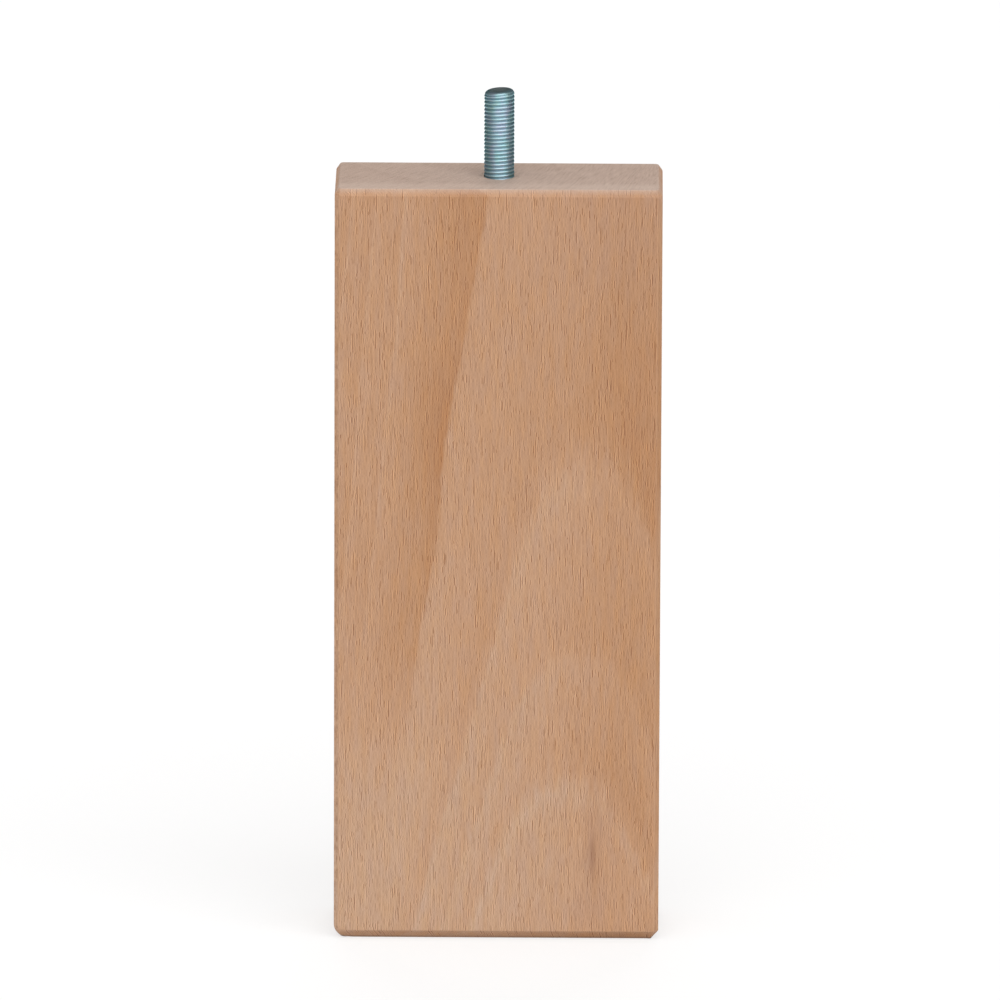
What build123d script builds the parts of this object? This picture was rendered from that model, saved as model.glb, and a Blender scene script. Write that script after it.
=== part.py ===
from build123d import *
from math import radians, tan
import os

# Straight furniture leg: a planed beech block with a hanger bolt standing in its top end.
# The origin is the centre of the foot, +Z runs up along the bolt, +X goes across the wide faces
# and the front face looks towards -Y. All sizes are in millimetres.

# Leg block, a length of planed board
block_width = 84.0
block_depth = 30.0
block_height = 200.0

# Bevels on the block's edges
corner_bevel = 1.2
head_bevel_in = 1.1
head_bevel_down = 1.7
foot_bevel_in = 2.0
foot_bevel_up = 2.4

# Hanger bolt, the machine thread that stands out of the block, measured over the crests of an M8 thread
thread_diameter = 7.8
thread_pitch = 1.0
stud_reach = 23.0
stud_lead = 0.9
cup_diameter = 4.4
cup_depth = 0.5

# Hanger bolt, the part that is driven into the wood
shank_length = 6.0
screw_root_diameter = 5.6
screw_length = 24.0
point_length = 6.5

# Bolt hole
hole_clearance = 0.05
mouth_bevel = 0.3
spare_depth = 1.5
drill_point_angle = 118.0

# A rolled thread starts from a rod of its pitch diameter, and the plain shank keeps that size.
pitch_line_drop = 0.6495
shank_diameter = thread_diameter - pitch_line_drop * thread_pitch

# Levels along the bolt, from its free end down to its point
stud_end = block_height + stud_reach
shank_foot = block_height - shank_length
screw_foot = shank_foot - screw_length
bolt_point = screw_foot - point_length

os.makedirs("parts", exist_ok=True)

# Leg block
hole_radius = thread_diameter / 2 + hole_clearance
pilot_radius = screw_root_diameter / 2 + hole_clearance
pilot_foot = bolt_point - spare_depth
drill_tip = pilot_foot - pilot_radius / tan(radians(drill_point_angle / 2))

with BuildPart() as leg_block:
    with BuildSketch():
        Rectangle(block_width, block_depth)
    extrude(amount=block_height)
    chamfer(leg_block.edges().filter_by(Axis.Z), length=corner_bevel)

    head = leg_block.faces().sort_by(Axis.Z)[-1]
    chamfer(head.edges(), length=head_bevel_in, length2=head_bevel_down, reference=head)
    foot = leg_block.faces().sort_by(Axis.Z)[0]
    chamfer(foot.edges(), length=foot_bevel_in, length2=foot_bevel_up, reference=foot)

    # The bolt hole steps down from the thread's size to the pilot for the wood screw.
    with BuildSketch(Plane.XZ):
        with BuildLine():
            Polyline(
                (0, block_height),
                (hole_radius + mouth_bevel, block_height),
                (hole_radius, block_height - mouth_bevel),
                (hole_radius, shank_foot),
                (pilot_radius, shank_foot),
                (pilot_radius, pilot_foot),
                (0, drill_tip),
                close=True,
            )
        make_face()
    revolve(axis=Axis.Z, mode=Mode.SUBTRACT)

leg_block.part.label = "leg_block"
export_step(leg_block.part, "parts/leg_block.step")

# Hanger bolt
thread_radius = thread_diameter / 2
shank_radius = shank_diameter / 2
screw_root_radius = screw_root_diameter / 2

with BuildPart() as hanger_bolt:
    with BuildSketch(Plane.XZ):
        with BuildLine():
            # Rolling the thread leaves a shallow dish in the free end.
            dish = TangentArc((0, stud_end - cup_depth), (cup_diameter / 2, stud_end), tangent=(1, 0))
            Polyline(
                dish @ 1,
                (thread_radius - stud_lead, stud_end),
                (thread_radius, stud_end - stud_lead),
                (thread_radius, block_height),
                (shank_radius, block_height),
                (shank_radius, shank_foot),
                (screw_root_radius, shank_foot),
                (screw_root_radius, screw_foot),
                (0, bolt_point),
                dish @ 0,
            )
        make_face()
    revolve(axis=Axis.Z)

hanger_bolt.part.label = "hanger_bolt"
export_step(hanger_bolt.part, "parts/hanger_bolt.step")
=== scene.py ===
# %% [markdown]
# # A beech furniture leg with its hanger bolt
# The object is a straight leg for a sofa, a bed base or a cabinet: one planed block of beech with
# bevelled edges, and a zinc-plated hanger bolt whose machine thread stands out of the top end.
# The measured model already holds both pieces at their true size, so the first step loads it, and
# every later step works in the same frame: the origin is the middle of the foot, +Z runs up the
# leg, the front looks to -Y, and Blender counts in metres.

# %% Load the measured model
import math
from functools import reduce

import bpy
import numpy as np
from mathutils import Matrix, Vector


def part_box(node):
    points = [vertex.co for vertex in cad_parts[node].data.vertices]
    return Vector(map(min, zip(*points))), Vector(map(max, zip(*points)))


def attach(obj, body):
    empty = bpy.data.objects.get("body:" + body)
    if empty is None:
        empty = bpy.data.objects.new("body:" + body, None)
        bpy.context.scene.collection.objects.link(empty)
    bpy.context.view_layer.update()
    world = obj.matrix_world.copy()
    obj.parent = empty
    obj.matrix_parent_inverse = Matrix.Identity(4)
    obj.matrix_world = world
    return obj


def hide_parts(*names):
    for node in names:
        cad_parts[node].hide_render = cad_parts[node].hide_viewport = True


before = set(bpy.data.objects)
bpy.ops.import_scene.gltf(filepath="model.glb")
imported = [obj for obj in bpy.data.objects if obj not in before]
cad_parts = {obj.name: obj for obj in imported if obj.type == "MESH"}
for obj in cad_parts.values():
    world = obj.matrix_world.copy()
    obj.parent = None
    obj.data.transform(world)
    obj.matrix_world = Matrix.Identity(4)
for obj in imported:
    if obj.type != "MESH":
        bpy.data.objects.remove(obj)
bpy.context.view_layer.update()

MM = 0.001

# %% [markdown]
# ## A skin of stacked rings
# Both pieces are closed bodies that a tape could be wound round, so both can be made as a stack of
# rings: a grid of points with one row per ring, closed by one point at each end. A lathe (the Screw
# modifier) would do for a plain bolt, but not for a helix or for a block with flat sides. A grid
# does all of them, and numpy works out every point at once.

# %% Turn stacked rings into a closed mesh
def closed_skin(name, rings, first_pole, last_pole):
    """A closed mesh from rings of the shape (rows, columns, 3).

    Each point is joined by a quad to the next one in its ring and to the same two in the next ring,
    the last column joins the first, and triangles close the first and last ring to their pole. The
    rings run counterclockwise seen from the far end of the stack, so the faces look outwards.
    """
    rows, columns = rings.shape[:2]
    here = np.arange(rows * columns).reshape(rows, columns)
    beside = np.roll(here, -1, axis=1)
    quads = np.stack([here[:-1], beside[:-1], beside[1:], here[1:]], axis=-1).reshape(-1, 4)
    first = np.full(columns, rows * columns)
    first_fan = np.stack([beside[0], here[0], first], axis=-1)
    last_fan = np.stack([here[-1], beside[-1], first + 1], axis=-1)
    points = np.concatenate([rings.reshape(-1, 3), [first_pole, last_pole]])
    mesh = bpy.data.meshes.new(name)
    mesh.from_pydata(points.tolist(), [], quads.tolist() + first_fan.tolist() + last_fan.tolist())
    mesh.shade_smooth()
    piece = bpy.data.objects.new(name, mesh)
    bpy.context.scene.collection.objects.link(piece)
    print(name, "has", len(points), "points and", len(mesh.polygons), "faces")
    return piece


def soft_corner(before, corner, after, steps):
    """A quadratic Bezier curve from before to after that leans to the corner between them.

    Point: (1-t)^2 before + 2t(1-t) corner + t^2 after. Direction: (1-t)(corner - before) + t(after -
    corner), made one long. Both come back with the steps on the first axis.
    """
    t = np.linspace(0, 1, steps).reshape((-1,) + (1,) * np.ndim(corner))
    points = (1 - t) ** 2 * before + 2 * t * (1 - t) * corner + t**2 * after
    heading = (1 - t) * (corner - before) + t * (after - corner)
    return points, heading / np.linalg.norm(heading, axis=-1, keepdims=True)

# %% [markdown]
# ## The block's plan
# Seen from above the block is a rectangle whose four corners are cut at 45 degrees, and sandpaper
# has taken the last sharpness off the eight edges that are left. A Bevel modifier on a cube could
# round them, but the rings have to line up with the bolt hole later on, so the plan is drawn here:
# eight soft corners joined by straight runs. With every plan point goes a mitre, the way it moves
# when the outline shrinks by 1 mm, because the bevels at head and foot are the same plan, shrunk.

# %% Draw the plan of the block
CORNER_BEVEL = 1.2 * MM
CORNER_SOFTNESS = 0.2 * MM
CORNER_STEPS = 6
SIDE_POINTS, CUT_POINTS, FACE_POINTS = 9, 1, 31
EDGE_POINTS = [SIDE_POINTS, CUT_POINTS, FACE_POINTS, CUT_POINTS] * 2

half_width, half_depth, block_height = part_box("leg_block")[1]


def block_plan(half_x, half_y):
    """Points, outward normals and mitres round a rectangle with cut and softened corners.

    The mitre of a corner between two edges is the sum of their normals over 1 plus their dot product,
    and along a straight run it goes evenly from one corner's mitre to the next.
    """
    in_x, in_y = half_x - CORNER_BEVEL, half_y - CORNER_BEVEL
    corner = np.array([
        (half_x, -in_y), (half_x, in_y), (in_x, half_y), (-in_x, half_y),
        (-half_x, in_y), (-half_x, -in_y), (-in_x, -half_y), (in_x, -half_y),
    ])
    run = np.roll(corner, -1, axis=0) - corner
    run /= np.linalg.norm(run, axis=1, keepdims=True)
    normal = np.stack([run[:, 1], -run[:, 0]], axis=1)
    earlier = np.roll(normal, 1, axis=0)
    mitre = (earlier + normal) / (1 + np.sum(earlier * normal, axis=1, keepdims=True))
    before = corner - CORNER_SOFTNESS * np.roll(run, 1, axis=0)
    bend, heading = soft_corner(before, corner, corner + CORNER_SOFTNESS * run, CORNER_STEPS)
    bend_normal = np.stack([heading[..., 1], -heading[..., 0]], axis=-1)
    points, normals, mitres = [], [], []
    for edge, count in enumerate(EDGE_POINTS):
        following = (edge + 1) % len(corner)
        share = np.arange(1, count + 1).reshape(-1, 1) / (count + 1)
        points += [bend[:, edge], bend[-1, edge] + share * (bend[0, following] - bend[-1, edge])]
        normals += [bend_normal[:, edge], np.tile(normal[edge], (count, 1))]
        turning = mitre[edge] + share * (mitre[following] - mitre[edge])
        mitres += [np.tile(mitre[edge], (CORNER_STEPS, 1)), turning]
    return np.concatenate(points), np.concatenate(normals), np.concatenate(mitres)


plan, plan_normal, plan_mitre = block_plan(half_width, half_depth)
print("points round the block:", len(plan))

# %% [markdown]
# ## The block's profile
# Going up the side of the block, the outline shrinks at the foot bevel and again at the head bevel,
# then turns in over the end grain and down into the bolt hole. The lower left corner of the real leg
# is worn rounder than the lower right one, so the softness of the foot edges is a function of x and
# not one number. That is the reason for working the rings out here: each profile corner is a
# Bezier curve for every plan point at once.

# %% Stack the rings of the block
HEAD_BEVEL_IN, HEAD_BEVEL_DOWN = 1.1 * MM, 1.7 * MM
FOOT_BEVEL_IN, FOOT_BEVEL_UP = 2.0 * MM, 2.4 * MM
HEAD_SOFTNESS = 0.25 * MM
FOOT_SOFTNESS_LEFT, FOOT_SOFTNESS_RIGHT = 1.3 * MM, 0.25 * MM
WORN_FROM_X, WORN_TO_X = -42 * MM, -37 * MM
PROFILE_STEPS = 6
SIDE_ROWS = 15


def smooth_step(low, high, value):
    """0 below low, 1 above high, and 3t^2 - 2t^3 between them."""
    t = np.clip((value - low) / (high - low), 0, 1)
    return t * t * (3 - 2 * t)


def softened_profile(path, softness, steps):
    """Soft corners at the inner points of a path, for one softness per plan point.

    The path's first and last points only give the directions of its ends. Comes back as points and
    headings of the shape (corners x steps, plan points, 2).
    """
    path = np.asarray(path, float)
    run = np.diff(path, axis=0)
    run /= np.linalg.norm(run, axis=1, keepdims=True)
    bends = []
    for number, reach in enumerate(softness, start=1):
        reach = np.reshape(reach, (-1, 1))
        corner = np.broadcast_to(path[number], (len(reach), 2))
        before, after = corner - reach * run[number - 1], corner + reach * run[number]
        bends.append(soft_corner(before, corner, after, steps))
    return np.concatenate([b[0] for b in bends]), np.concatenate([b[1] for b in bends])


worn = smooth_step(WORN_FROM_X, WORN_TO_X, plan[:, 0])
foot_softness = FOOT_SOFTNESS_LEFT + (FOOT_SOFTNESS_RIGHT - FOOT_SOFTNESS_LEFT) * worn
head_softness = np.full(len(plan), HEAD_SOFTNESS)
bevel_path = [
    (half_depth, 0), (FOOT_BEVEL_IN, 0), (0, FOOT_BEVEL_UP),
    (0, block_height - HEAD_BEVEL_DOWN), (HEAD_BEVEL_IN, block_height), (half_depth, block_height),
]
bevels, bevel_heading = softened_profile(
    bevel_path, [foot_softness, foot_softness, head_softness, head_softness], PROFILE_STEPS
)
foot_rows = 2 * PROFILE_STEPS
up = np.arange(1, SIDE_ROWS + 1).reshape(-1, 1, 1) / (SIDE_ROWS + 1)
side = bevels[foot_rows - 1] + up * (bevels[foot_rows] - bevels[foot_rows - 1])
side_heading = np.tile(bevel_heading[foot_rows], (SIDE_ROWS, 1, 1))
inset_height = np.concatenate([bevels[:foot_rows], side, bevels[foot_rows:]])
heading = np.concatenate([bevel_heading[:foot_rows], side_heading, bevel_heading[foot_rows:]])


def block_rings(inset_height, heading):
    """Points and normals of the rings outside the hole.

    Point: plan - inset x mitre, at the row's height. Normal: the plan normal times the rise of the
    profile, with the profile's inset times (mitre . normal) as its upward part.
    """
    inset, height = inset_height[..., :1], inset_height[..., 1:]
    points = np.concatenate([plan - inset * plan_mitre, height], axis=-1)
    lean = np.sum(plan_mitre * plan_normal, axis=1, keepdims=True)
    normals = np.concatenate([heading[..., 1:] * plan_normal, heading[..., :1] * lean], axis=-1)
    return points, normals / np.linalg.norm(normals, axis=-1, keepdims=True)


outer_rings, outer_normals = block_rings(inset_height, heading)
print("rows up the block:", len(outer_rings))
print("foot softness in mm:", foot_softness.min() / MM, "to", foot_softness.max() / MM)

# %% [markdown]
# ## The bolt hole
# The hole belongs to the same skin. The last ring of the head face is joined to a circle with a
# point at the same bearing for every plan point, and the rings then follow the drill: a small
# countersink, the wide bore for the shank, a step, the pilot bore for the wood screw and the cone
# of the drill's tip. Cutting it with a Boolean would give the same hole with a ragged mesh.

# %% Add the stepped hole and make the block
HOLE_RADIUS, MOUTH_BEVEL = 3.92 * MM, 0.06 * MM
PILOT_RADIUS = 2.85 * MM
SHANK_FOOT = block_height - 6.0 * MM
PILOT_FOOT = block_height - 38.0 * MM
DRILL_POINT_ANGLE = 118.0
DRILL_TIP = PILOT_FOOT - PILOT_RADIUS / math.tan(math.radians(DRILL_POINT_ANGLE / 2))
HOLE_SOFTNESS = 0.02 * MM

bearing = np.arctan2(outer_rings[-1, :, 1], outer_rings[-1, :, 0])
drill_path = [
    (half_depth, block_height), (HOLE_RADIUS + MOUTH_BEVEL, block_height),
    (HOLE_RADIUS, block_height - MOUTH_BEVEL), (HOLE_RADIUS, SHANK_FOOT),
    (PILOT_RADIUS, SHANK_FOOT), (PILOT_RADIUS, PILOT_FOOT), (0, DRILL_TIP),
]
drill_corners = len(drill_path) - 2
drill, drill_heading = softened_profile(drill_path, [HOLE_SOFTNESS] * drill_corners, PROFILE_STEPS)


def round_rings(radius_height, heading, bearing):
    """Circles: radius times the cosine and sine of the bearing, at the row's height.

    The normal is the heading turned a quarter: (rise, minus the change of radius).
    """
    around = np.stack([np.cos(bearing), np.sin(bearing)], axis=-1)
    height = np.broadcast_to(radius_height[..., 1:], radius_height.shape[:1] + (len(bearing), 1))
    points = np.concatenate([radius_height[..., :1] * around, height], axis=-1)
    rise = np.broadcast_to(-heading[..., :1], height.shape)
    return points, np.concatenate([heading[..., 1:] * around, rise], axis=-1)


hole_rings, hole_normals = round_rings(drill, drill_heading, bearing)
block = closed_skin(
    "beech_block", np.concatenate([outer_rings, hole_rings]), (0, 0, 0), (0, 0, DRILL_TIP)
)
block_normals = np.concatenate([
    outer_normals.reshape(-1, 3), hole_normals.reshape(-1, 3), [(0, 0, -1), (0, 0, 1)]
])
block.data.normals_split_custom_set_from_vertices(block_normals.tolist())

# %% [markdown]
# ## Marks for the finish of the wood
# The finish has to know a few things that a place in space alone doesn't tell. They are stored as
# attributes, one number per point, and the material reads them by name. end_grain is 1 where the
# fibres are cut across: on both ends and in the hole. painted_edge_highlight rises to 1 along the
# softened edges, and less at the head; the wood is painted paler there as a highlight. side_cut is 1
# on the right side and high on the cut corner at the back left, the two places that lie along the
# wood's rays.

# %% Mark the end grain, the painted edge highlight and the side cuts
HEAD_FADE_BELOW, HEAD_FADE_ABOVE = 0.5 * MM, 0.1 * MM
FOOT_LOOK, RIGHT_LOOK, CORNER_LOOK = (0.7, 0.97), (0.55, 0.95), (0.25, 0.5)
HEAD_EDGE_HIGHLIGHT = 0.3
CORNER_SIDE_CUT = 0.8


def store(piece, name, values):
    """Keeps one number per point of a piece, under a name that a material can read."""
    piece.data.attributes.new(name, "FLOAT", "POINT").data.foreach_set("value", values)


def highlight_across_bend(steps):
    """Painted highlight across a softened edge: half a sine wave, most in the middle of the bend."""
    return np.sin(np.linspace(0, math.pi, steps))


outer_height = outer_rings[..., 2].ravel()
look_x, look_y, look_up = outer_normals.reshape(-1, 3).T
inside = np.ones(len(block_normals) - len(outer_height))

head_share = smooth_step(block_height - HEAD_FADE_BELOW, block_height + HEAD_FADE_ABOVE, outer_height)
foot_share = smooth_step(*FOOT_LOOK, -look_up)
store(block, "end_grain", np.append(np.maximum(head_share, foot_share), inside))

# The softened edges are painted paler as a highlight, most in the middle of each bend and less at the
# head.
row_bend, no_highlight = highlight_across_bend(PROFILE_STEPS), np.zeros(PROFILE_STEPS)
highlight_up_rows = np.concatenate([row_bend, row_bend, np.zeros(SIDE_ROWS), HEAD_EDGE_HIGHLIGHT * row_bend, no_highlight])
highlight_round_columns = np.concatenate([np.append(highlight_across_bend(CORNER_STEPS), np.zeros(n)) for n in EDGE_POINTS])
highlight_per_point = np.maximum(highlight_up_rows[:, None], highlight_round_columns).ravel()
store(block, "painted_edge_highlight", np.append(highlight_per_point, 0 * inside))

back_left = smooth_step(*CORNER_LOOK, -look_x * look_y) * (look_x < 0)
side_share = np.maximum(smooth_step(*RIGHT_LOOK, look_x), CORNER_SIDE_CUT * back_left)
store(block, "side_cut", np.append(side_share, 0 * inside))
print("marks on the block:", ", ".join(a.name for a in block.data.attributes if a.data_type == "FLOAT"))
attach(block, "root")
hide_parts("leg_block")

# %% [markdown]
# ## The hanger bolt
# A hanger bolt has a machine thread at one end and a wood screw at the other. A real rolled thread
# is one ridge wound round the rod, so its radius depends on the height and on the bearing: where
# height over pitch minus the bearing's share of a turn is whole, there is a crest. That makes the
# thread a right-hand one. An array of rings would look alike from far away, but its ridges would be
# level, and here they have to climb.

# %% Wind the two threads
THREAD_RADIUS, THREAD_PITCH, THREAD_DEPTH = 3.9 * MM, 1.0 * MM, 0.42 * MM
LEAD_HEIGHT, LEAD_INSET = 1.5 * MM, 1.15 * MM
SHANK_RADIUS = 3.575 * MM
RUN_OUT_FOOT, RUN_OUT_TOP = block_height - 2.2 * MM, block_height - 1.2 * MM
SCREW_ROOT, SCREW_CREST, SCREW_PITCH = 2.8 * MM, 3.85 * MM, 3.6 * MM
BLADE_FROM, BLADE_TO = 0.62, 0.94
SCREW_FADE = 2.5 * MM
SCREW_FOOT, BOLT_POINT = block_height - 30 * MM, block_height - 36.5 * MM
POINT_POWER = 0.8
BOLT_COLUMNS = 96
ROWS_PER_PITCH = 16
SCREW_ROW = 0.15 * MM
SHANK_ROWS, SHANK_GAP = 6, 0.01 * MM
TIP_ROWS, TIP_HEIGHT = 10, 0.5 * MM

stud_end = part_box("hanger_bolt")[1][2]


def ridge(height, turn, pitch):
    """A wound ridge: 0 in its root and 1 on its crest, a triangle wave of height / pitch - turn."""
    return np.abs(2 * ((height / pitch - turn) % 1) - 1)


def bolt_radius(height, turn):
    """Radius of the bolt up to its free end.

    The machine thread has round crests and narrow roots: its depth grows with the square of the way
    from crest to root. A quarter of an ellipse rounds it off at the free end, and it fades into the
    plain shank inside the hole. The wood screw fades in below the shank and follows the cone of the
    gimlet point.
    """
    stud = THREAD_RADIUS - THREAD_DEPTH * (1 - ridge(height, turn, THREAD_PITCH)) ** 2
    lead = np.clip(1 - (stud_end - height) / LEAD_HEIGHT, 0, 1)
    stud = np.minimum(stud, THREAD_RADIUS - LEAD_INSET * (1 - np.sqrt(1 - lead**2)))
    run_out = smooth_step(RUN_OUT_FOOT, RUN_OUT_TOP, height)
    upper = SHANK_RADIUS + (stud - SHANK_RADIUS) * run_out
    taper = np.clip((height - BOLT_POINT) / (SCREW_FOOT - BOLT_POINT), 0, 1)
    fade = 1 - smooth_step(SHANK_FOOT - SCREW_FADE, SHANK_FOOT, height)
    blade = np.clip((ridge(height, turn, SCREW_PITCH) - BLADE_FROM) / (BLADE_TO - BLADE_FROM), 0, 1)
    lower = (SCREW_ROOT + (SCREW_CREST - SCREW_ROOT) * blade * fade) * taper**POINT_POWER
    return np.where(height > SHANK_FOOT, upper, lower)


turn = np.arange(BOLT_COLUMNS) / BOLT_COLUMNS
screw_heights = np.arange(BOLT_POINT + SCREW_ROW, SHANK_FOOT, SCREW_ROW)
shank_heights = np.linspace(SHANK_FOOT + SHANK_GAP, RUN_OUT_FOOT, SHANK_ROWS)
stud_rows = int(round((stud_end - shank_heights[-1]) / THREAD_PITCH * ROWS_PER_PITCH))
stud_heights = np.linspace(shank_heights[-1], stud_end - TIP_HEIGHT, stud_rows)[1:]
tip_heights = stud_end - TIP_HEIGHT * (1 - np.arange(1, TIP_ROWS + 1) / TIP_ROWS) ** 2
heights = np.concatenate([screw_heights, shank_heights, stud_heights, tip_heights])
radii = bolt_radius(heights[:, None], turn[None, :])
print("rows up the bolt:", len(heights), " largest radius in mm:", radii.max() / MM)

# %% [markdown]
# The free end is a flat rim with a shallow dish, which rolling the thread leaves behind. It closes
# the bolt: the rim and the dish are a few more rings on the same columns. The rod was sheared a
# little out of square, so the end sinks towards the left, and the threads below it follow less and
# less. Two marks go with the bolt: groove is 1 in the roots of the thread, and cut_end is 1 on the end.

# %% Close the free end and make the bolt
CUP_RADIUS, CUP_DEPTH = 2.2 * MM, 0.5 * MM
CUP_ROWS, RIM_ROWS = 10, 4
RIM_OUTER_GAP, RIM_INNER_GAP = 0.06 * MM, 0.05 * MM
END_SLANT, SLANT_REACH = 0.5 * MM, 3.0 * MM

rim_radius = THREAD_RADIUS - LEAD_INSET
rim = np.linspace(rim_radius - RIM_OUTER_GAP, CUP_RADIUS + RIM_INNER_GAP, RIM_ROWS)
cup = CUP_RADIUS * (1 - np.arange(CUP_ROWS) / CUP_ROWS)
cup_height = stud_end - CUP_DEPTH * (1 - (cup / CUP_RADIUS) ** 2)
end_radius = np.concatenate([rim, cup])
end_height = np.concatenate([np.full(len(rim), stud_end), cup_height])
bolt_heights = np.concatenate([heights, end_height])
bolt_radii = np.concatenate([radii, np.tile(end_radius[:, None], (1, BOLT_COLUMNS))])
bolt_bearing = 2 * math.pi * turn
bolt_x, bolt_y = bolt_radii * np.cos(bolt_bearing), bolt_radii * np.sin(bolt_bearing)
slant = smooth_step(stud_end - SLANT_REACH, stud_end, bolt_heights)[:, None]
sunk_heights = bolt_heights[:, None] - END_SLANT * slant * (1 - bolt_x / THREAD_RADIUS) / 2
bolt_rings = np.stack([bolt_x, bolt_y, sunk_heights], axis=-1)
cup_bottom = stud_end - CUP_DEPTH - END_SLANT / 2
bolt = closed_skin("hanger_bolt_thread", bolt_rings, (0, 0, BOLT_POINT), (0, 0, cup_bottom))
threaded = (bolt_heights > block_height) & (bolt_heights < stud_end - LEAD_HEIGHT)
groove_depth = np.clip((THREAD_RADIUS - bolt_radii) / THREAD_DEPTH, 0, 1) * threaded[:, None]
store(bolt, "groove", np.append(groove_depth.ravel(), [0, 0]))
on_end = np.arange(len(bolt_heights)) >= len(heights)
store(bolt, "cut_end", np.append(np.repeat(on_end, BOLT_COLUMNS), [0, 1]))
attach(bolt, "root")
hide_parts("hanger_bolt")

# %% [markdown]
# ## Writing a finish as a recipe
# A material is a tree of nodes, and wiring nodes one by one hides the thought behind them. The small
# helper below lets each line of a finish read like a line of a recipe: it adds one node, fills its
# sockets with numbers or with what an earlier line gave, and hands back the node's output.

# %% A helper that writes node trees
class Recipe:
    """The node tree of a material or a world, written one node per call."""

    def __init__(self, owner):
        self.owner = owner
        owner.use_nodes = True
        self.tree = owner.node_tree

    def fill(self, socket, value):
        """Links an output to the socket, or sets a number, a vector or a colour on it."""
        if isinstance(value, bpy.types.NodeSocket):
            self.tree.links.new(value, socket)
        elif socket.type == "RGBA":
            socket.default_value = (*value, 1)
        else:
            socket.default_value = value

    def add(self, kind, inputs, output=0, **settings):
        node = self.tree.nodes.new("ShaderNode" + kind)
        for key, value in settings.items():
            setattr(node, key, value)
        for key, value in inputs.items():
            self.fill(node.inputs[key], value)
        return node.outputs[output]

    def math(self, operation, *values):
        return self.add("Math", dict(enumerate(values)), operation=operation)

    def total(self, *values):
        """All values added up."""
        return reduce(lambda a, b: self.math("ADD", a, b), values)

    def product(self, *values):
        """All values multiplied."""
        return reduce(lambda a, b: self.math("MULTIPLY", a, b), values)

    def swing(self, share, width):
        """From minus half the width to plus half of it, as the share goes from 0 to 1."""
        return self.math("MULTIPLY_ADD", share, width, -width / 2)

    def in_mm(self):
        """The place on the piece, in millimetres."""
        place = self.add("TexCoord", {}, output="Object")
        return self.add("VectorMath", {0: place, "Scale": 1 / MM}, operation="SCALE")

    def stretch(self, vector, sizes, offset=(0, 0, 0)):
        """The vector in units of the given cell sizes."""
        cells = tuple(1 / size for size in sizes)
        scaled = self.add("VectorMath", {0: vector, 1: cells}, operation="MULTIPLY")
        return self.add("VectorMath", {0: scaled, 1: offset}, operation="ADD")

    def noise(self, vector, detail=2.0, roughness=0.5):
        inputs = {"Vector": vector, "Scale": 1.0, "Detail": detail, "Roughness": roughness}
        return self.add("TexNoise", inputs)

    def between(self, value, low, high, to_low=0.0, to_high=1.0):
        """Smoothly from to_low at low to to_high at high, and flat outside."""
        inputs = {0: value, 1: low, 2: high, 3: to_low, 4: to_high}
        return self.add("MapRange", inputs, interpolation_type="SMOOTHSTEP")

    def ramp(self, value, stops):
        """A colour ramp: stops are (place, colour), and a single number makes a grey."""
        node = self.tree.nodes.new("ShaderNodeValToRGB")
        self.fill(node.inputs[0], value)
        elements = node.color_ramp.elements
        for number, (place, colour) in enumerate(stops):
            element = elements[number] if number < len(elements) else elements.new(place)
            element.position = place
            element.color = (*colour, 1) if isinstance(colour, tuple) else (*(colour,) * 3, 1)
        return node.outputs[0]

    def mix(self, share, a, b, blend="MIX"):
        inputs = {0: share, 6: a, 7: b}
        return self.add("Mix", inputs, output=2, data_type="RGBA", blend_type=blend)

    def mark(self, name):
        """The attribute that was stored with the piece under this name."""
        return self.add("Attribute", {}, output="Fac", attribute_name=name)

    def serve(self, shader, **sockets):
        """Fills sockets of the shader that ends the recipe; _ in a name stands for a space."""
        for key, value in sockets.items():
            self.fill(self.tree.nodes[shader].inputs[key.replace("_", " ")], value)


def screen(red, green, blue):
    """A colour as a screen shows it, from 0 to 255, in the linear light that Blender mixes."""
    share = np.array([red, green, blue]) / 255
    linear = np.where(share <= 0.04045, share / 12.92, ((share + 0.055) / 1.055) ** 2.4)
    return tuple(float(v) for v in linear)


print("plain beech in linear light:", [round(v, 3) for v in screen(192, 150, 119)])

# %% [markdown]
# ## Beech: the growth rings
# The board was sawn a little off the middle of the trunk, so its rings come out on the wide face as
# tall arches: near the foot they close over, and to the left they run up as slanting streaks. Bands
# from a Wave texture would be too even. A growth field is used instead, one number for every point
# of the wood that is the same all over a ring: it falls with the square (and a little of the fourth
# power) of the distance from a leaning middle line, falls with the height, and rises into the depth
# of the board. Noise lets the middle line wander and makes the rings a little ragged, and one kink
# bends the streak on the left. The same field cuts the sides, the back and the end grain, so the
# rings meet at the edges as in real wood.

# %% The growth field of the board
MIDDLE_X, MIDDLE_LEAN = 16.7, 0.057
RING_SLOPE, RING_CURVE = -0.0275, 0.00005
ARCH_SQUARE, ARCH_FOURTH = 0.0012, 2.5e-7
FRONT_Y, FIELD_AT_FRONT, DEPTH_RISE = -15.0, 4.0, 0.30
WANDER, WANDER_CELL = 5.0, (22, 30, 70)
RAGGED, RAGGED_CELL = 0.30, (0.8, 2.0, 6.0)
KINK, KINK_Z, KINK_X = -0.30, (140, 95), (6, -10)

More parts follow.
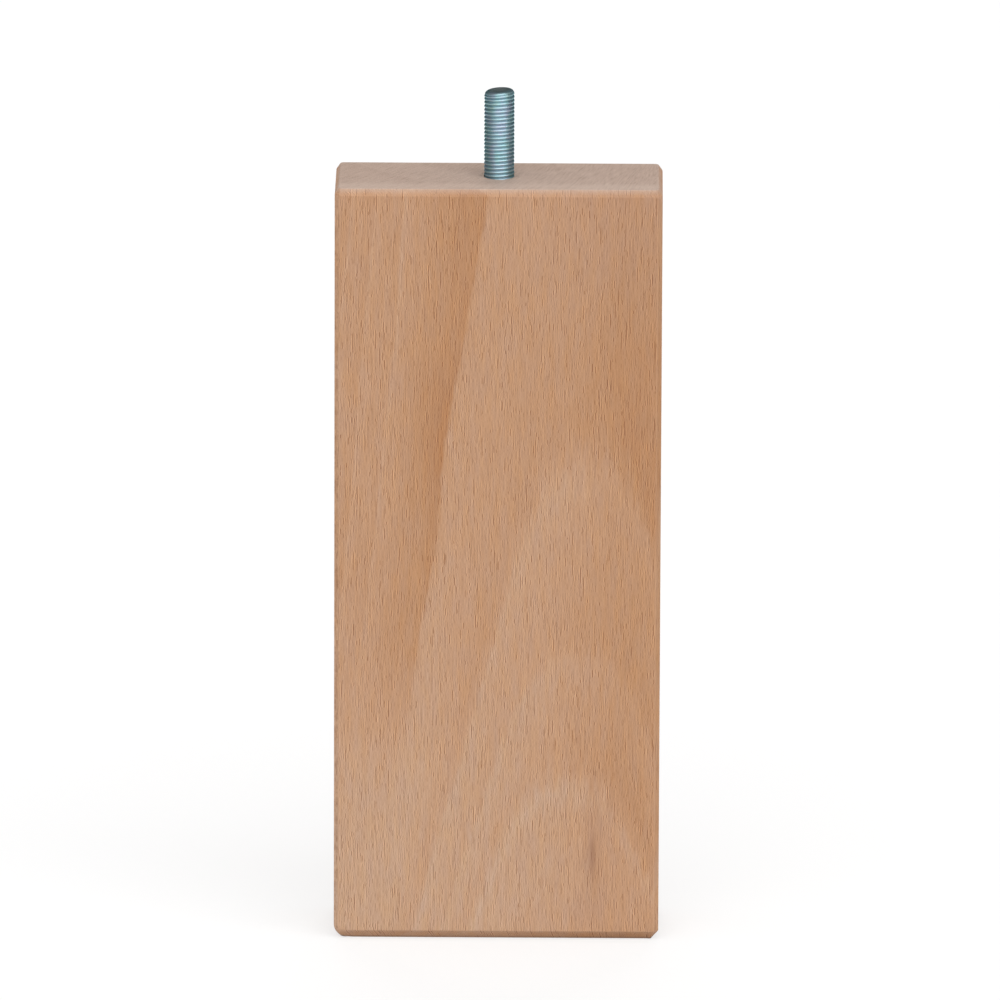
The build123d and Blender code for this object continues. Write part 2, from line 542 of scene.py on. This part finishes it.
beech = Recipe(bpy.data.materials.new("steamed_beech"))
in_mm = beech.in_mm()
x, y, z = beech.add("SeparateXYZ", {0: in_mm}).node.outputs
wander = beech.swing(beech.noise(beech.stretch(in_mm, WANDER_CELL)), WANDER)
middle = beech.math("MULTIPLY_ADD", z, MIDDLE_LEAN, MIDDLE_X)
off_middle = beech.math("SUBTRACT", beech.total(x, wander), middle)
square = beech.product(off_middle, off_middle)
arch = beech.product(square, beech.math("MULTIPLY_ADD", square, ARCH_FOURTH, ARCH_SQUARE))
climb = beech.product(z, beech.math("MULTIPLY_ADD", z, RING_CURVE, RING_SLOPE))
depth = beech.math("MULTIPLY_ADD", y, DEPTH_RISE, FIELD_AT_FRONT - FRONT_Y * DEPTH_RISE)
smooth_growth = beech.math("SUBTRACT", beech.total(depth, climb), arch)
ragged = beech.swing(beech.noise(beech.stretch(in_mm, RAGGED_CELL)), RAGGED)
kink = beech.product(KINK, beech.between(z, *KINK_Z), beech.between(x, *KINK_X))
growth = beech.total(smooth_growth, ragged, kink)
print("the growth field uses", len(beech.tree.nodes), "nodes")

# %% [markdown]
# Each ring ends in a sharp border. On its outer side the late wood is a little darker and more
# orange and fades away slowly; on the inner side runs a thin pale line. One colour ramp over the
# growth field holds all of them, and its stops are filled from a list of borders. The streak on the
# left fades out towards the foot, and a broad noise makes the rings stronger in some places.

# %% Tone of the rings
FIELD_LOW, FIELD_HIGH = -12.0, 16.0
BORDER_HALF = 0.03
RINGS = [
    # border, tone just outside it, tone just inside it, width of the pale line, tone behind it
    (-9.0, 0.42, 0.56, 0.35, 0.47),
    (-6.6, 0.40, 0.56, 0.35, 0.47),
    (-4.4, 0.40, 0.54, 0.35, 0.46),
    (-0.9, 0.14, 0.47, 0.40, 0.50),
    (1.25, 0.36, 0.66, 0.14, 0.54),
    (2.20, 0.44, 0.62, 0.13, 0.54),
    (2.89, 0.42, 0.74, 0.22, 0.54),
    (5.6, 0.38, 0.60, 0.30, 0.50),
    (8.0, 0.34, 0.60, 0.30, 0.50),
    (11.0, 0.38, 0.60, 0.30, 0.50),
]
STREAK_SHOULDER = [(-1.7, 0.23), (-2.9, 0.36)]
STREAK_GROWTH, STREAK_Z = (0.0, 0.6), (40, 95)
PATCH_CELL, PATCH_STRENGTH = (9, 20, 26), (0.3, 0.7, 0.9, 1.15)


def field_place(growth_value):
    """Where a growth value lies on the ramp, from 0 to 1."""
    return (growth_value - FIELD_LOW) / (FIELD_HIGH - FIELD_LOW)


ring_stops = list(STREAK_SHOULDER)
for border, outer_tone, inner_tone, pale_width, tone_behind in RINGS:
    ring_stops += [(border - BORDER_HALF, outer_tone), (border + BORDER_HALF, inner_tone)]
    ring_stops.append((border + pale_width, tone_behind))
ring_stops = sorted((field_place(g), tone) for g, tone in ring_stops)
ring_place = beech.math("MULTIPLY_ADD", growth, 1 / (FIELD_HIGH - FIELD_LOW), field_place(0))
ring_ramp = beech.ramp(ring_place, ring_stops)
streak_fade = beech.math("MAXIMUM", beech.between(growth, *STREAK_GROWTH), beech.between(z, *STREAK_Z))
patches = beech.noise(beech.stretch(in_mm, PATCH_CELL, (4.1, 2.2, 0.7)))
ring_strength = beech.product(streak_fade, beech.between(patches, *PATCH_STRENGTH))
ring_tone = beech.math("MULTIPLY_ADD", beech.math("SUBTRACT", ring_ramp, 0.5), ring_strength, 0.5)
print("stops on the ring ramp:", len(ring_stops))

# %% [markdown]
# ## Beech: rays
# What makes beech look like beech is its rays, thin plates that run from the bark to the middle of
# the trunk. Where the wide face cuts across them they are short dark dashes along the grain. A noise
# would give blotches, so Voronoi cells give them: stretched along the grain and deep into the board,
# each cell holds one dash with a paler seam on both sides, and the cell's own random colour sets how
# long and how dark it is. The rays fan out, so they lean across the end grain. The lean is held back
# over the head bevel, which keeps the dashes upright there. Where side_cut was stored, the face would
# lie along the rays and show broad flakes, so they are turned.

# %% Rays
GRAIN_LEAN = 0.5
RAY_MIDDLE, RAY_FAN = 56.0, 0.008
RAY_DEPTH, DEPTH_TAPER = 0.55, 0.85
DASH_CORE, DASH_TAPER = 0.4, 0.65
PALE_SEAM, SEAM_OUTER, SEAM_INNER = 0.35, 3.0, 1.3

head_bevel_foot = (block_height - HEAD_BEVEL_DOWN) / MM
grain_x = beech.math("MULTIPLY_ADD", wander, GRAIN_LEAN, x)
over_bevel = beech.math("MAXIMUM", beech.math("SUBTRACT", z, head_bevel_foot), 0.0)
held_y = beech.math("MULTIPLY_ADD", over_bevel, -HEAD_BEVEL_IN / HEAD_BEVEL_DOWN, y)
fan = beech.math("MULTIPLY_ADD", held_y, RAY_FAN, 1.0)
ray_x = beech.product(beech.math("SUBTRACT", grain_x, RAY_MIDDLE), fan)
ray_x = beech.math("MULTIPLY_ADD", beech.mark("side_cut"), y, ray_x)
ray_mm = beech.add("CombineXYZ", {0: ray_x, 1: y, 2: z})


def ray_layer(size, offset, half_width, half_height):
    """Dashes in stretched Voronoi cells: 1 on a dash, and a little below 0 in the paler seam beside it.

    The way to the cell's own point is split into across, inwards and along. A dash is where all three
    are short, and its length and strength come from the cell's random colour, so that some dashes
    are long, some short and some hardly there.
    """
    place = beech.stretch(ray_mm, size, offset)
    cell = beech.add("TexVoronoi", {"Vector": place, "Scale": 1.0}).node.outputs
    gap = beech.add("VectorMath", {0: place, 1: cell["Position"]}, operation="SUBTRACT")
    gap = beech.add("VectorMath", {0: gap}, operation="ABSOLUTE")
    across, inwards, along = beech.add("SeparateXYZ", {0: gap}).node.outputs
    strength, length, _ = beech.add("SeparateXYZ", {0: cell["Color"]}).node.outputs
    reach = beech.math("MULTIPLY_ADD", length, half_height, 0.5 * half_height)
    dark = beech.between(across, half_width, DASH_CORE * half_width, 0.0, 1.0 + PALE_SEAM)
    pale = beech.between(across, SEAM_OUTER * half_width, SEAM_INNER * half_width, 0.0, -PALE_SEAM)
    return beech.product(
        beech.total(dark, pale),
        beech.between(beech.math("DIVIDE", along, reach), 1.0, DASH_TAPER),
        beech.between(inwards, RAY_DEPTH, DEPTH_TAPER * RAY_DEPTH),
        beech.between(strength, 0.0, 1.0),
    )


long_rays = ray_layer(size=(0.85, 18, 12.5), offset=(0, 0, 0), half_width=0.16, half_height=0.16)
short_rays = ray_layer(size=(0.64, 14, 5.2), offset=(3.3, 7.1, 1.7), half_width=0.19, half_height=0.16)
rays = beech.total(long_rays, short_rays)
print("rays bring it to", len(beech.tree.nodes), "nodes")

# %% [markdown]
# ## Beech: vessels and clouds
# The vessels are much finer than the rays: threads about a quarter of a millimetre wide. Each is a
# square column with a noise of its own along the grain. Set in pairs, one pale and one dark, they stay
# crisp and leave the mean colour alone, and wider bundles of them add some unevenness. Broad noise
# gives the slow change of colour over a board.

# %% Vessels and clouds
COLUMN_STEP_X, COLUMN_STEP_Y = 5.37, 3.71
RING_LINES_PER_GROWTH, RING_LINES_PER_MM = 2.4, 0.008

grain_mm = beech.add("CombineXYZ", {0: grain_x, 1: y, 2: z})


def fibres(width, length, offset):
    """Streaks along the grain: square columns across x and y, each with its own noise along z."""
    place = beech.stretch(grain_mm, (width, width, length), offset)
    column = beech.add("VectorMath", {0: place}, operation="FLOOR")
    column_x, column_y, _ = beech.add("SeparateXYZ", {0: column}).node.outputs
    own_place = beech.add("CombineXYZ", {
        0: beech.product(column_x, COLUMN_STEP_X),
        1: beech.product(column_y, COLUMN_STEP_Y),
        2: beech.add("SeparateXYZ", {0: place}, output="Z"),
    })
    return beech.noise(own_place, detail=3.0, roughness=0.7)


def fibre_pairs(width, length, offset):
    """Twin streaks: two columns side by side share one noise, and one is as pale as the other is dark."""
    twin = beech.math("FRACT", beech.math("DIVIDE", beech.total(grain_x, y), 2 * width))
    side = beech.swing(beech.math("GREATER_THAN", twin, 0.5), 2.0)
    noise = fibres(2 * width, length, offset)
    return beech.math("MULTIPLY_ADD", beech.math("SUBTRACT", noise, 0.5), side, 0.5)


vessels = fibre_pairs(width=0.255, length=2.6, offset=(0, 0, 0))
fibre_bundles = fibres(width=0.55, length=6.0, offset=(3.1, 1.7, 0.4))
colour_drift = beech.noise(beech.stretch(in_mm, (2.0, 2.0, 10.0), (7.7, 0.4, 2.6)))
streaks = beech.noise(beech.stretch(in_mm, (1.3, 1.3, 16), (2.1, 5.7, 0.3)), detail=1.0)
clouds = beech.noise(beech.stretch(in_mm, (26, 26, 60), (5.2, 1.3, 8.8)), detail=3.0)
ring_lines = beech.noise(beech.add("CombineXYZ", {
    0: beech.product(growth, RING_LINES_PER_GROWTH), 1: beech.product(z, RING_LINES_PER_MM)}))
print("vessels and clouds bring it to", len(beech.tree.nodes), "nodes")

# %% [markdown]
# ## Beech: tone and colour
# The tone adds all of this up: 0.5 is plain beech, less is the orange brown of late wood, and more is
# the pale line. A few broad patches shift it too, each given as a change of tone and the limits it
# comes in between. A ramp turns the tone into colour. The patterns then multiply that colour, each by
# a ramp of its own that is 1 where the pattern is plain, so they darken and lighten without greying.
# The upper right corner is a little cooler.

# %% Tone and colour of the planed faces
CLOUD_SWING, RING_LINE_SWING, STREAK_SWING = 0.20, 0.12, 0.12
TONE_PATCHES = [
    # patch, change of tone, then each limit: axis, from, to, and the shares there if not 0 and 1
    ("pale foot", 0.22, (z, 75, 5), (x, 30, 0, 0.05, 1.0)),
    ("warm right", -0.20, (x, 14, 36), (z, 198, 150, 0.4, 1.0), (z, 12, 55, 0.45, 1.0)),
    ("pale heart", 0.08, (z, 115, 70), (z, 18, 45), (x, -30, -18), (x, 22, 8)),
    # The foot bevel faces down, and its tone is painted darker and more orange as shade.
    ("painted shade on the foot bevel", -0.25, (z, 2.6, 1.4)),
    ("warm head bevel", -0.07, (z, 198, 199)),
]
PLAIN = (1.0, 1.0, 1.0)
RAY_PLAIN, RAY_RANGE = 0.25, 0.5
COOL_LIGHT, COOL_X, COOL_Z = (0.965, 0.975, 1.02), (0, 30), (140, 190)

tone = beech.total(
    ring_tone,
    beech.swing(clouds, CLOUD_SWING),
    beech.swing(ring_lines, RING_LINE_SWING),
    beech.swing(streaks, STREAK_SWING),
)
for patch, change, *limits in TONE_PATCHES:
    tone = beech.total(tone, beech.product(change, *(beech.between(*limit) for limit in limits)))
    print(patch, "changes the tone by", change)
plank = beech.ramp(tone, [
    (0.0, screen(174, 121, 78)),
    (0.25, screen(184, 137, 99)),
    (0.5, screen(191, 148, 115)),
    (0.75, screen(195, 158, 129)),
    (1.0, screen(201, 170, 146)),
])
ray_place = beech.math("MULTIPLY_ADD", rays, RAY_RANGE, RAY_PLAIN)
for pattern, light in [
    (colour_drift, [(0.3, (1.028, 1.0, 0.93)), (0.7, (0.976, 1.0, 1.07))]),
    (vessels, [(0.25, (0.62, 0.52, 0.41)), (0.5, PLAIN), (0.75, (1.25, 1.31, 1.37))]),
    (fibre_bundles, [(0.25, (0.92, 0.90, 0.88)), (0.5, PLAIN), (0.75, (1.06, 1.075, 1.09))]),
    (ray_place, [(0.0, (1.24, 1.28, 1.33)), (RAY_PLAIN, PLAIN), (0.75, (0.56, 0.43, 0.30))]),
]:
    plank = beech.mix(1.0, plank, beech.ramp(pattern, light), "MULTIPLY")
cool_corner = beech.product(beech.between(x, *COOL_X), beech.between(z, *COOL_Z))
plank = beech.mix(cool_corner, plank, COOL_LIGHT, "MULTIPLY")

# %% [markdown]
# ## Beech: a stain, painted shade and a painted highlight
# A dark stain near the foot is an ellipsoid drawn by distance: its place is measured in units of its
# own half sizes, so the length of that vector is 1 on its border. The lowest millimetre is painted
# darker as the shade where the foot meets the floor, and the softened edges are painted a little
# paler as a highlight.

# %% Stain, painted contact shade and painted edge highlight
STAIN_PLACE, STAIN_HALF_SIZE = (24.9, FRONT_Y, 23.0), (1.3, 6.0, 8.5)
STAIN_CORE, STAIN_HALO = (1.0, 0.1, 0.0, 0.45), (3.2, 0.4, 0.0, 0.2)
CONTACT_SHADE_TOP, CONTACT_SHADE_FOOT, CONTACT_SHADE_SHARE = 1.0, 0.1, 0.45
EDGE_HIGHLIGHT_SHARE = 0.35

stain_offset = tuple(-place / half for place, half in zip(STAIN_PLACE, STAIN_HALF_SIZE))
stain_gap = beech.stretch(in_mm, STAIN_HALF_SIZE, stain_offset)
stain_reach = beech.add("VectorMath", {0: stain_gap}, output="Value", operation="LENGTH")
stain = beech.total(beech.between(stain_reach, *STAIN_CORE), beech.between(stain_reach, *STAIN_HALO))
# The lowest millimetre is painted darker as the shade where the foot meets the floor.
painted_contact_shade = beech.between(z, CONTACT_SHADE_TOP, CONTACT_SHADE_FOOT, 0.0, CONTACT_SHADE_SHARE)
plank = beech.mix(stain, plank, screen(148, 106, 82))
plank = beech.mix(painted_contact_shade, plank, screen(96, 66, 48))
# The softened edges are painted a little paler as a highlight.
plank = beech.mix(beech.product(beech.mark("painted_edge_highlight"), EDGE_HIGHLIGHT_SHARE), plank, screen(206, 163, 130))
print("with its marks the wood has", len(beech.tree.nodes), "nodes")

# %% [markdown]
# ## Beech: end grain
# The ends are cut straight across the vessels, so they look greyer, with fine dots and with the rays as
# thin leaning lines. Towards the front the end is painted paler as a highlight, and two short dashes
# of painted shade run out to the left and right of the bolt. The stored end_grain says where the ends
# take over from the planed faces.

# %% End grain
DOT_CELL, LINE_CELL = (0.35, 0.35, 4), (0.30, 5.0, 4.0)
SPECK_CONTRAST, SPECK_LEVEL = 0.80, -0.415
END_RING_SHARE = 0.14
FRONT_END_HIGHLIGHT = (-6.5, -10.5, 0.0, 0.16)
END_RAYS = (-15, 15, 0.12, 0.30)
HOLE_SHADE_ACROSS = (0.45, 0.1, 0.0, 0.6)
HOLE_SHADE_FROM, HOLE_SHADE_TO = (4.1, 4.5), (5.4, 4.8)

end_dots = beech.noise(beech.stretch(in_mm, DOT_CELL))
end_lines = beech.noise(beech.stretch(ray_mm, LINE_CELL))
specks = beech.math("MULTIPLY_ADD", beech.total(end_dots, end_lines), SPECK_CONTRAST, SPECK_LEVEL)
end_tone = beech.math("MULTIPLY_ADD", ring_tone, END_RING_SHARE, specks)
# The end is painted paler towards the front as a highlight.
end_wood = beech.ramp(beech.total(end_tone, beech.between(y, *FRONT_END_HIGHLIGHT)), [
    (0.15, screen(151, 128, 113)),
    (0.45, screen(186, 163, 149)),
    (0.78, screen(204, 184, 170)),
])
end_wood = beech.mix(beech.product(rays, beech.between(x, *END_RAYS)), end_wood, screen(122, 100, 86))
off_x, off_y = beech.math("ABSOLUTE", x), beech.math("ABSOLUTE", y)
# Two short dashes of painted shade lie beside the bolt hole, one to the left and one to the right.
painted_hole_shade = beech.product(
    beech.between(off_y, *HOLE_SHADE_ACROSS),
    beech.between(off_x, *HOLE_SHADE_FROM),
    beech.between(off_x, *HOLE_SHADE_TO),
)
end_wood = beech.mix(painted_hole_shade, end_wood, screen(84, 66, 54))
wood = beech.mix(beech.mark("end_grain"), plank, end_wood)
print("with its end grain the wood has", len(beech.tree.nodes), "nodes")

# %% [markdown]
# ## Beech: gloss and relief
# A thin satin finish lets the gloss vary a little along the grain. The vessels and rays are too shallow
# for geometry, a few hundredths of a millimetre, so a faint bump stands for them.

# %% Gloss and relief of the beech
SHEEN_CELL, SHEEN = (0.8, 0.8, 9), (0.2, 0.8, 0.46, 0.62)
RAY_RELIEF = -0.5
RELIEF_STRENGTH, RELIEF_HEIGHT = 0.12, 0.1 * MM

sheen_noise = beech.noise(beech.stretch(in_mm, SHEEN_CELL))
relief = beech.math("MULTIPLY_ADD", rays, RAY_RELIEF, vessels)
beech.serve(
    "Principled BSDF",
    Base_Color=wood,
    Roughness=beech.between(sheen_noise, *SHEEN),
    Normal=beech.add("Bump", {"Strength": RELIEF_STRENGTH, "Distance": RELIEF_HEIGHT, "Height": relief}),
)
block.data.materials.append(beech.owner)
print("beech has", len(beech.tree.nodes), "nodes")

# %% [markdown]
# ## Zinc plate
# The bolt is steel with a thin coat of zinc, blue where it was passivated, with a faint run of purple
# and green. A metal has hardly any colour of its own beyond the tint of its reflection, so the colour
# varies little and the roughness does the work: handling and rolling leave some crests duller than
# others.

# %% Finish of the bolt
DRIFT_CELL, GRIT_CELL = (2.5, 2.5, 3.5), (0.25, 0.25, 0.12)
GROOVE_SHADE = (0.15, 0.9, 0.0, 0.2)
BOLT_GLOSS = (0.25, 0.75, 0.29, 0.45)
GRIT_STRENGTH, GRIT_HEIGHT = 0.10, 0.05 * MM

zinc = Recipe(bpy.data.materials.new("blue_zinc_plate"))
bolt_mm = zinc.in_mm()
drift = zinc.noise(zinc.stretch(bolt_mm, DRIFT_CELL))
grit = zinc.noise(zinc.stretch(bolt_mm, GRIT_CELL))
tint = zinc.ramp(drift, [
    (0.30, (0.43, 0.50, 0.61)),
    (0.45, (0.39, 0.53, 0.60)),
    (0.60, (0.35, 0.55, 0.59)),
    (0.72, (0.38, 0.54, 0.53)),
])
# The roots of the thread are painted darker as shade.
tint = zinc.mix(zinc.between(zinc.mark("groove"), *GROOVE_SHADE), tint, (0.09, 0.16, 0.20))
tint = zinc.mix(zinc.mark("cut_end"), tint, (0.48, 0.55, 0.55))
zinc.serve(
    "Principled BSDF",
    Base_Color=tint,
    Metallic=1.0,
    Specular_Tint=(0.34, 0.51, 0.55),
    Roughness=zinc.between(grit, *BOLT_GLOSS),
    Normal=zinc.add("Bump", {"Strength": GRIT_STRENGTH, "Distance": GRIT_HEIGHT, "Height": grit}),
)
bolt.data.materials.append(zinc.owner)
print("zinc has", len(zinc.tree.nodes), "nodes")

# %% [markdown]
# ## Floor
# The leg stands on a white sweep. The floor has to look white to the camera and in the metal, but a
# white floor would also throw so much light up that the bevel at the foot lost its shade. Light Path
# tells the two apart: camera, mirror and glass rays meet a white floor, and light that bounces on to
# the wood meets a greyer one. Part of the white is a glow, which keeps the shadow of the leg as faint
# as a bright studio leaves it.

# %% Lay the floor
FLOOR_HALF = 20.0
FLOOR_SEEN, FLOOR_GLOW, FLOOR_BOUNCE = 0.36, 0.64, 0.58

floor_mesh = bpy.data.meshes.new("floor")
floor_corner = FLOOR_HALF * np.array([(-1, -1, 0), (1, -1, 0), (1, 1, 0), (-1, 1, 0)])
floor_mesh.from_pydata(floor_corner.tolist(), [], [(0, 1, 2, 3)])
floor = bpy.data.objects.new("floor", floor_mesh)
bpy.context.scene.collection.objects.link(floor)
sweep = Recipe(bpy.data.materials.new("white_sweep"))
path = sweep.add("LightPath", {}).node.outputs
mirrored = sweep.math("MAXIMUM", path["Is Glossy Ray"], path["Is Transmission Ray"])
seen = sweep.math("MAXIMUM", path["Is Camera Ray"], mirrored)
sweep.serve(
    "Principled BSDF",
    Base_Color=sweep.mix(seen, (FLOOR_BOUNCE,) * 3, (FLOOR_SEEN,) * 3),
    Roughness=1.0,
    Specular_IOR_Level=0.0,
    Emission_Color=(1, 1, 1),
    Emission_Strength=sweep.product(seen, FLOOR_GLOW),
)
floor_mesh.materials.append(sweep.owner)
print("floor is", 2 * FLOOR_HALF, "m wide")

# %% [markdown]
# ## Light
# One broad soft panel stands in front of the leg, and paler walls close the room round it. On a rod,
# every bearing mirrors another part of the room, so the thread shows where the panel is: it ends
# sharply on the right, where the bolt's bright band stops, and fades out slowly to the left. A weak
# lamp behind and one at each side keep the other faces readable, hidden from mirror rays.

# %% Lamps
def direction(azimuth, elevation):
    """One long, from the leg towards an azimuth (0 is the front, 90 is +X) and elevation in degrees."""
    a, e = math.radians(azimuth), math.radians(elevation)
    return Vector((math.sin(a) * math.cos(e), -math.cos(a) * math.cos(e), math.sin(e)))


def fill_light(name, azimuth, elevation, strength, width):
    """A sun lamp that shines from an azimuth and elevation, and looks that wide, all in degrees."""
    lamp = bpy.data.lights.new(name, "SUN")
    lamp.energy = strength
    lamp.angle = math.radians(width)
    holder = bpy.data.objects.new(name, lamp)
    holder.rotation_euler = direction(azimuth, elevation).to_track_quat("Z", "Y").to_euler()
    holder.visible_glossy = False
    bpy.context.scene.collection.objects.link(holder)
    print(name, "shines from", azimuth, elevation, "at", strength)


fill_light("back_fill", azimuth=180, elevation=35, strength=1.0, width=50)
fill_light("left_fill", azimuth=-95, elevation=30, strength=0.5, width=70)
fill_light("right_fill", azimuth=95, elevation=30, strength=0.5, width=70)

# %% [markdown]
# The panel and the walls are painted on the sky, the world's own background. A place in the sky is given
# by its bearing (0 is the front, 90 degrees is +X) and its rise, and each border of the panel fades
# between two angles.

# %% Sky
SIDE_WALL_LIGHT, BACK_WALL_LIGHT, PANEL_LIGHT = 0.26, 0.16, 1.65
BACK_WALL = (95, 150)
PANEL_LEFT, PANEL_RIGHT = (-85, -10), (74, 63)
PANEL_BOTTOM, PANEL_TOP = (-2, 18), (90, 70)

sky = bpy.data.worlds.new("studio")
studio = Recipe(sky)
sky_place = studio.add("TexCoord", {}, output="Generated")
sky_x, sky_y, sky_z = studio.add("SeparateXYZ", {0: sky_place}).node.outputs
sky_bearing = studio.math("ARCTAN2", sky_x, studio.product(sky_y, -1.0))
sky_rise = studio.math("ARCSINE", sky_z)


def panel_edge(angle, edge):
    """Smoothly from 0 at the edge's first angle to 1 at its second, both in degrees."""
    return studio.between(angle, math.radians(edge[0]), math.radians(edge[1]))


panel = studio.product(
    panel_edge(sky_bearing, PANEL_LEFT), panel_edge(sky_bearing, PANEL_RIGHT),
    panel_edge(sky_rise, PANEL_BOTTOM), panel_edge(sky_rise, PANEL_TOP),
)
behind = panel_edge(studio.math("ABSOLUTE", sky_bearing), BACK_WALL)
walls = studio.math("MULTIPLY_ADD", behind, BACK_WALL_LIGHT - SIDE_WALL_LIGHT, SIDE_WALL_LIGHT)
sky_light = studio.math("MULTIPLY_ADD", panel, PANEL_LIGHT, walls)
studio.serve("Background", Color=(1, 1, 1), Strength=sky_light)
bpy.context.scene.world = sky
bpy.context.scene.view_settings.view_transform = "Standard"
print("the sky has", len(studio.tree.nodes), "nodes")

# %% [markdown]
# ## Camera
# The picture was taken from far away with a long lens, a little from above: the two ends of the block
# are almost the same width, and its top end shows as a thin band. The numbers below come from fitting
# the block's corners to the picture: where the camera aims, from which side and height, and how many
# picture widths its focal length is. The frame is square.

# %% Set up the camera
AIM = Vector((0.629, -15.0, 117.887)) * MM
VIEW_AZIMUTH, VIEW_ELEVATION, VIEW_ROLL = 0.376, 15.062, 0.216
VIEW_DISTANCE = 4.5
FOCAL_WIDTHS = 17.504

camera_data = bpy.data.cameras.new("camera")
camera_data.sensor_width = 36.0
camera_data.lens = FOCAL_WIDTHS * camera_data.sensor_width
camera = bpy.data.objects.new("camera", camera_data)
roll = math.radians(VIEW_ROLL)
back, level = direction(VIEW_AZIMUTH, VIEW_ELEVATION), direction(VIEW_AZIMUTH + 90, 0)
right = level * math.cos(roll) + back.cross(level) * math.sin(roll)
turned = Matrix((right, back.cross(right), back)).transposed()
camera.matrix_world = Matrix.Translation(AIM + back * VIEW_DISTANCE) @ turned.to_4x4()
bpy.context.scene.collection.objects.link(camera)
bpy.context.scene.camera = camera
print("lens in mm:", round(camera_data.lens, 1))
